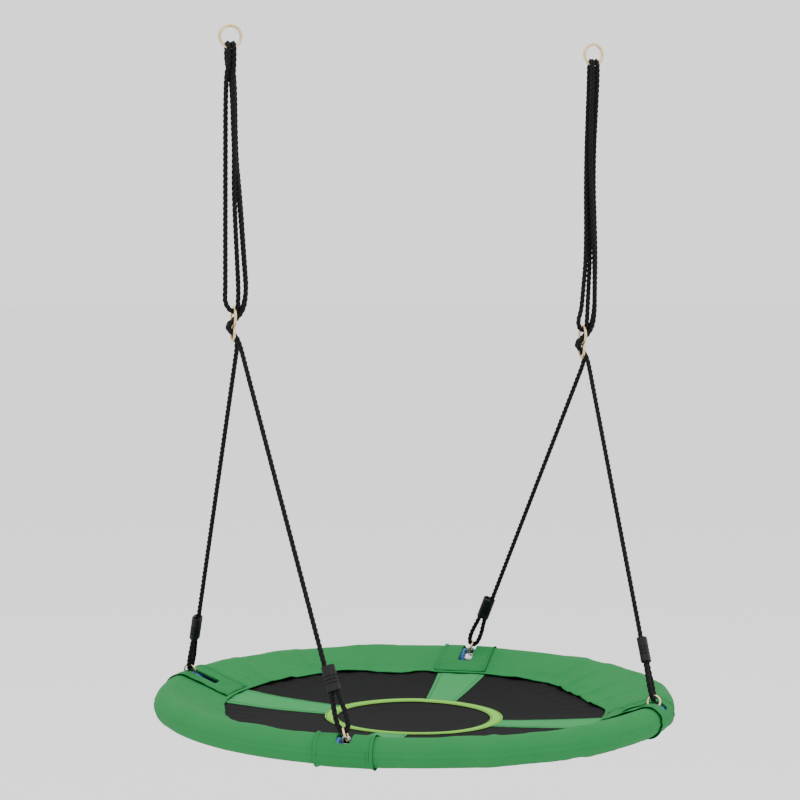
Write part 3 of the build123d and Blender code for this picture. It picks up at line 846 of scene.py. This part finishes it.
def slack(angle, along, beside):
    """How far the cover stands off its even shape: puckers, folds and seams."""
    x, y = math.cos(angle), math.sin(angle)
    calm = min(1.0, max(0.12, (beside - CUFF_HALF) / 0.05))
    slow = 0.0048 * noise.noise(Vector((x * 5, y * 5, along * 9)))
    fold = noise.noise(Vector((x * 16, y * 16, along * 6)))
    fold = 0.0055 * max(0.0, fold) * (1 if along < 0.1 else 0.5)
    wobble = noise.noise(Vector((x * 3.5, y * 3.5, 7)))
    pucker = math.sin(angle * 120 + 9 * wobble) * (0.6 + 0.5 * noise.noise(Vector((x * 9, y * 9, 1))))
    pucker *= 0.0011 * math.exp(-(((along - 0.030) / 0.022) ** 2))
    tight = math.sin(angle * 210 + 7 * wobble) * 0.00035 * math.exp(-(((along - 0.153) / 0.012) ** 2))
    seam = 0.0
    for row in INNER_SEAMS:
        seam -= 0.0010 * math.exp(-(((along - row) / 0.0018) ** 2))
    for row in OUTER_SEAMS:
        seam -= 0.0012 * math.exp(-(((along - row) / 0.0020) ** 2))
    seam += 0.0005 * math.exp(-(((along - 0.153) / 0.003) ** 4))
    loose = (slow + fold + pucker + tight) * calm
    return max(loose + 0.0009, 0.0006) + seam


def cover_point(column, row_number, lift=0.0):
    """A point of the cover's outside, and its place on the flat cloth."""
    row = ROWS[row_number]
    r = 0.42
    for _ in range(3):
        angle = column_angle(column, r, row_number)
        r, z, out, along = section(angle, row)
    beside = abs(column[2]) if column[0] == "lug" else SIDE + 0.6 * min(column[2], 1 - column[2])
    stand = lift + slack(angle, along, beside)
    r += out[0] * stand
    z += out[1] * stand
    point = Vector((r * math.cos(angle), r * math.sin(angle), RIM_Z + z))
    return point, (angle * RIM_RADIUS, along)


grid, flat, holes = [], [], set()
for i, column in enumerate(COLUMNS):
    pairs = [cover_point(column, j) for j in range(len(ROWS))]
    grid.append([pair[0] for pair in pairs])
    flat.append([pair[1] for pair in pairs])
    following = COLUMNS[(i + 1) % len(COLUMNS)]
    if column[0] == following[0] == "lug" and max(abs(column[2]), abs(following[2])) <= SLOT_HALF:
        holes |= {(i, j) for j in range(*SLOT_ROWS)}
mesh = cloth_mesh("green_cover", grid, flat, COVER_THICKNESS, closed=True, holes=holes)
cover = shown("green_cover", mesh, cover_green, "edge_cover")


def surface_line(columns, along, lift=0.0004):
    """A line on the cover at a length along its outline."""
    alongs = [section(LUG_LINES[0], row)[3] for row in ROWS]
    low = max(j for j in range(len(ROWS) - 1) if alongs[j] <= along)
    f = (along - alongs[low]) / (alongs[low + 1] - alongs[low])
    line = []
    for column in columns:
        a, b = cover_point(column, low, lift)[0], cover_point(column, low + 1, lift)[0]
        line.append(a.lerp(b, f))
    return line


for along in INNER_SEAMS + OUTER_SEAMS:
    for lug in range(4):
        place_in = [c for c in COLUMNS if c[1] == lug and (c[0] == "span" or c[2] >= CUFF_HALF)]
        place_in += [
            c for c in COLUMNS if c[1] == (lug + 1) % 4 and c[0] == "lug" and c[2] <= -CUFF_HALF
        ]
        stitch_lines["cover"].append(surface_line(place_in, along))

# ---------------------------------------------------------------- cuffs
# A second layer of the green fabric round each slot, hemmed at both sides with the edges lifting.

CUFF_LIFT = 0.0022
CUFF_NEAR = (0.0, 5, 10, 14, 16, 19, 23, 28, 33, 38, 43, 47, 50, 52.5, 54)
CUFF_T = sorted({math.copysign(t / 1000, s) for s in (-1, 1) for t in CUFF_NEAR})
cuff_green = weave_finish(
    "green_cuff", (0.015, 0.160, 0.043, 1), (0.026, 0.210, 0.062, 1), (0.7, 0.9)
)
for number, lug in enumerate(LUG_ANGLES):
    rows = list(range(2, len(ROWS) - 2))
    grid, flat, holes = [], [], set()
    for i, t in enumerate(CUFF_T):
        column, cut = [], []
        for j in rows:
            edge = max(0.0, (abs(t) - 0.042) / 0.012)
            flare = noise.noise(Vector((t * 30 + number * 4, j * 0.13, 2))) * 0.5 + 0.7
            hem = 0.0009 * math.exp(-(((abs(t) - 0.047) / 0.0022) ** 2))
            curl = 0.0034 * edge * edge * flare - hem
            tuck = -0.0009 * (1 - min(1.0, (j - 2) / 4)) - 0.0009 * max(0.0, (j - len(ROWS) + 8) / 6)
            crease = 0.0013 * noise.noise(Vector((t * 22, j * 0.22, number * 2.7)))
            point, where = cover_point(("lug", number, t), j, CUFF_LIFT + curl + tuck + crease)
            column.append(point)
            cut.append(where)
        grid.append(column)
        flat.append(cut)
        if i + 1 < len(CUFF_T) and max(abs(t), abs(CUFF_T[i + 1])) <= SLOT_HALF:
            holes |= {(i, j - 2) for j in range(*SLOT_ROWS)}
    name = f"{lug}_cuff_cloth"
    mesh = cloth_mesh(name, grid, flat, 0.0011, holes=holes)
    cuff = shown(name, mesh, cuff_green, f"{lug}_cuff")
    for t in (-0.047, -0.041, 0.041, 0.047):
        line = [cover_point(("lug", number, t), j, CUFF_LIFT + 0.0004)[0] for j in rows[1:-1]]
        stitch_lines["cuff"].append(line)
    for j in (3, 4):
        line = [cover_point(("lug", number, t), j, CUFF_LIFT - 0.0001)[0] for t in CUFF_T[2:-2]]
        stitch_lines["cuff"].append(line)
    around = [(SLOT_ROWS[0] - 1, t) for t in (-0.017, -0.01, 0, 0.01, 0.017)]
    around += [(j, 0.0185) for j in range(SLOT_ROWS[0], SLOT_ROWS[1] + 1)]
    around += [(SLOT_ROWS[1] + 1, t) for t in (0.017, 0.01, 0, -0.01, -0.017)]
    around += [(j, -0.0185) for j in range(SLOT_ROWS[1], SLOT_ROWS[0] - 1, -1)]
    line = [cover_point(("lug", number, t), j, CUFF_LIFT + 0.0004)[0] for j, t in around]
    stitch_lines["cuff"].append(line + line[:1])

# ---------------------------------------------------------------- stitching
# Thick thread, one raised stitch at a time along every seam. Its near-black green is the thread's own
# dark colour with painted shade of the seam grooves added.

seam_shade_thread, board, shader, place = finish_of("seam_shade_thread", Roughness=0.7)
twist = board.speckle(place, 2500, 2)
# Thread colour: dark green, darkened further to near black as painted shade in the stitch grooves; twist
# is random tone.
plug(
    board.tree,
    shader.inputs["Base Color"],
    board.blend(twist, (0.002, 0.022, 0.006, 1), (0.006, 0.045, 0.014, 1)),
)

sewn, start, end = new_tree(
    "stitch_rows",
    {
        "Pitch": "NodeSocketFloat",
        "Stitch Length": "NodeSocketFloat",
        "Thread Radius": "NodeSocketFloat",
        "Material": "NodeSocketMaterial",
    },
)
seam = sewn.node("GeometryNodeMeshToCurve", None, {"Mesh": start.outputs["Geometry"]})
seam = sewn.node(
    "GeometryNodeResampleCurve",
    {"mode": "LENGTH"},
    {"Curve": seam.outputs[0], "Length": start.outputs["Pitch"]},
)
tangent = sewn.node("GeometryNodeInputTangent").outputs[0]
lie = sewn.node("FunctionNodeAlignRotationToVector", {"axis": "Z"}, {"Vector": tangent})
bead = sewn.node("GeometryNodeMeshUVSphere", None, {"Segments": 6, "Rings": 4, "Radius": 1.0})
size = sewn.node(
    "ShaderNodeCombineXYZ",
    None,
    {
        "X": start.outputs["Thread Radius"],
        "Y": start.outputs["Thread Radius"],
        "Z": Value(sewn.tree, start.outputs["Stitch Length"]) * 0.5,
    },
)
placed = sewn.node(
    "GeometryNodeInstanceOnPoints",
    None,
    {
        "Points": seam.outputs[0],
        "Instance": bead.outputs[0],
        "Rotation": lie.outputs[0],
        "Scale": size.outputs[0],
    },
)
real = sewn.node("GeometryNodeRealizeInstances", None, {"Geometry": placed.outputs[0]})
dressed = sewn.node(
    "GeometryNodeSetMaterial",
    None,
    {"Geometry": real.outputs[0], "Material": start.outputs["Material"]},
)
sewn.tree.links.new(dressed.outputs[0], end.inputs[0])

for group, lines in stitch_lines.items():
    points, edges = [], []
    for line in lines:
        edges += [(len(points) + i, len(points) + i + 1) for i in range(len(line) - 1)]
        points += [tuple(point) for point in line]
    rows = bpy.data.meshes.new(f"{group}_rows")
    rows.from_pydata(points, edges, [])
    sizes = {
        "Pitch": 0.0042,
        "Stitch Length": 0.0034,
        "Thread Radius": 0.00055,
        "Material": seam_shade_thread,
    }
    stitches = grow(f"{group}_stitches", rows, sewn.tree, sizes)
    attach(stitches, "seat")

# ---------------------------------------------------------------- floor and light
# Pale ground a short way below the seat, and broad soft lights.

FLOOR_Z = -1.75
ground = bpy.data.meshes.new("floor")
ground.from_pydata(
    [(-40, -40, FLOOR_Z), (40, -40, FLOOR_Z), (40, 40, FLOOR_Z), (-40, 40, FLOOR_Z)],
    [],
    [(0, 1, 2, 3)],
)
floor = bpy.data.objects.new("floor", ground)
bpy.context.collection.objects.link(floor)
pale, board, shader, place = finish_of("pale_floor", Roughness=0.9, Specular_IOR_Level=0.1)
shader.inputs["Base Color"].default_value = (0.95, 0.95, 0.95, 1)
ground.materials.append(pale)

world = bpy.data.worlds.new("studio")
world.use_nodes = True
world.node_tree.nodes["Background"].inputs["Color"].default_value = (1, 1, 1, 1)
world.node_tree.nodes["Background"].inputs["Strength"].default_value = 1.5
bpy.context.scene.world = world
LAMPS = (
    # name, place, size, power
    ("key", (-2.2, -2.6, 2.4), 2.5, 60),
    ("fill", (3.0, -2.0, 1.2), 3.0, 20),
    ("top", (0.3, 0.8, 2.6), 2.5, 35),
)
for name, spot, size, power in LAMPS:
    lamp = bpy.data.lights.new(name, "AREA")
    lamp.size = size
    lamp.energy = power
    light = bpy.data.objects.new(name, lamp)
    light.location = spot
    light.rotation_euler = (SEAT - Vector(spot)).to_track_quat("-Z", "Y").to_euler()
    bpy.context.collection.objects.link(light)
